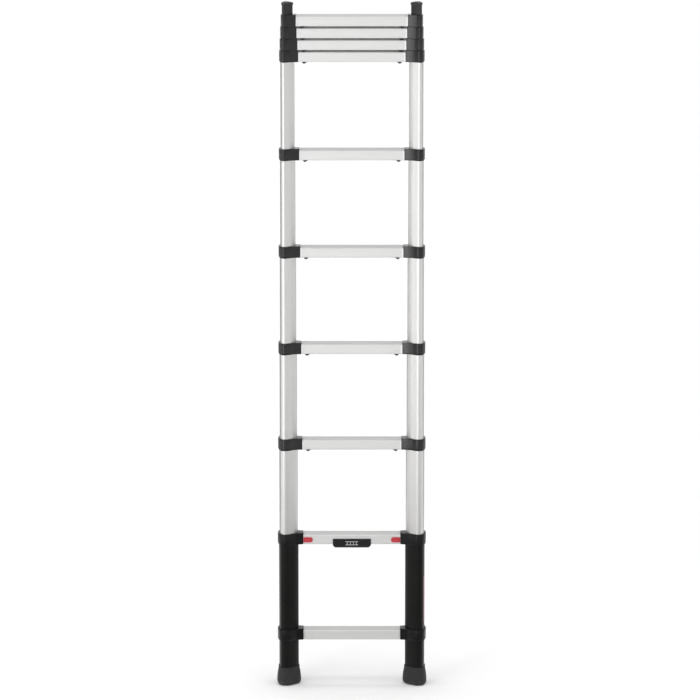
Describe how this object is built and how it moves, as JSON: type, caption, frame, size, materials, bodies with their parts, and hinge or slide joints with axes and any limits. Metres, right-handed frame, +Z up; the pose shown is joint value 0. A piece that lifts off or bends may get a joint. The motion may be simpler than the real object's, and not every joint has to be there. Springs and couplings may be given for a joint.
{
  "type": "telescoping ladder",
  "caption": "Telescoping ladder with rounded-triangle nested stiles, moulded collars, box rungs with sloping treads, rubber feet and sliding release buttons, partly drawn out.",
  "frame": {"origin": "on the ground, in the middle between the two feet", "axes": "+Z up the ladder, +X to the right as a person climbs it, +Y from front to back"},
  "size_m": [0.4654, 0.094, 2.129],
  "materials": {
    "base_tube": "satin black coating on an extruded aluminium tube",
    "tube_aluminium": "satin anodised, with fine extrusion lines along the tube",
    "rung_aluminium": "satin anodised, with a ribbed tread",
    "collar_plastic": "moulded black, fine grain",
    "cap_plastic": "moulded black, slightly soft",
    "foot_rubber": "dark grey, matt",
    "button_red": "satin moulded red",
    "badge_plastic": "smooth black, blank",
    "pin_steel": "zinc plated"
  },
  "bodies": {
    "base": {"foot_left": "foot_rubber", "stile_1_left": "base_tube", "collar_1_left": "collar_plastic", "collar_2_left": "collar_plastic", "return_spring_left": "pin_steel", "foot_right": "foot_rubber", "stile_1_right": "base_tube", "collar_1_right": "collar_plastic", "collar_2_right": "collar_plastic", "return_spring_right": "pin_steel", "rung_1": "rung_aluminium", "rung_2": "rung_aluminium", "badge": "badge_plastic"},
    "section_2": {"rung_3": "rung_aluminium", "stile_2_left": "tube_aluminium", "collar_3_left": "collar_plastic", "stile_2_right": "tube_aluminium", "collar_3_right": "collar_plastic"},
    "section_3": {"rung_4": "rung_aluminium", "stile_3_left": "tube_aluminium", "collar_4_left": "collar_plastic", "stile_3_right": "tube_aluminium", "collar_4_right": "collar_plastic"},
    "section_4": {"rung_5": "rung_aluminium", "stile_4_left": "tube_aluminium", "collar_5_left": "collar_plastic", "stile_4_right": "tube_aluminium", "collar_5_right": "collar_plastic"},
    "section_5": {"rung_6": "rung_aluminium", "stile_5_left": "tube_aluminium", "collar_6_left": "collar_plastic", "stile_5_right": "tube_aluminium", "collar_6_right": "collar_plastic"},
    "section_6": {"rung_7": "rung_aluminium", "stile_6_left": "tube_aluminium", "collar_7_left": "collar_plastic", "stile_6_right": "tube_aluminium", "collar_7_right": "collar_plastic"},
    "section_7": {"rung_8": "rung_aluminium", "stile_7_left": "tube_aluminium", "collar_8_left": "collar_plastic", "stile_7_right": "tube_aluminium", "collar_8_right": "collar_plastic"},
    "section_8": {"rung_9": "rung_aluminium", "stile_8_left": "tube_aluminium", "collar_9_left": "collar_plastic", "stile_8_right": "tube_aluminium", "collar_9_right": "collar_plastic"},
    "section_9": {"rung_10": "rung_aluminium", "stile_9_left": "tube_aluminium", "collar_10_left": "collar_plastic", "end_cap_left": "cap_plastic", "stile_9_right": "tube_aluminium", "collar_10_right": "collar_plastic", "end_cap_right": "cap_plastic"},
    "release_left": {"release_button_left": "button_red", "lock_pin_left": "pin_steel"},
    "release_right": {"release_button_right": "button_red", "lock_pin_right": "pin_steel"}
  },
  "joints": [
    {"name": "section_2_slide", "type": "slide", "parent": "base", "child": "section_2", "axis": [0, 0, 1], "range_m": [-0.264, 0]},
    {"name": "section_3_slide", "type": "slide", "parent": "section_2", "child": "section_3", "axis": [0, 0, 1], "range_m": [-0.264, 0]},
    {"name": "section_4_slide", "type": "slide", "parent": "section_3", "child": "section_4", "axis": [0, 0, 1], "range_m": [-0.264, 0]},
    {"name": "section_5_slide", "type": "slide", "parent": "section_4", "child": "section_5", "axis": [0, 0, 1], "range_m": [-0.264, 0]},
    {"name": "section_6_slide", "type": "slide", "parent": "section_5", "child": "section_6", "axis": [0, 0, 1], "range_m": [-0.264, 0]},
    {"name": "section_7_slide", "type": "slide", "parent": "section_6", "child": "section_7", "axis": [0, 0, 1], "range_m": [0, 0.264]},
    {"name": "section_8_slide", "type": "slide", "parent": "section_7", "child": "section_8", "axis": [0, 0, 1], "range_m": [0, 0.264]},
    {"name": "section_9_slide", "type": "slide", "parent": "section_8", "child": "section_9", "axis": [0, 0, 1], "range_m": [0, 0.264]},
    {"name": "release_left_slide", "type": "slide", "parent": "base", "child": "release_left", "axis": [1, 0, 0], "range_m": [0, 0.008], "stiffness_N_per_m": 400, "springref_m": -0.01, "deforming": ["return_spring_left"]},
    {"name": "release_right_slide", "type": "slide", "parent": "base", "child": "release_right", "axis": [-1, 0, 0], "range_m": [0, 0.008], "stiffness_N_per_m": 400, "springref_m": -0.01, "deforming": ["return_spring_right"]}
  ]
}
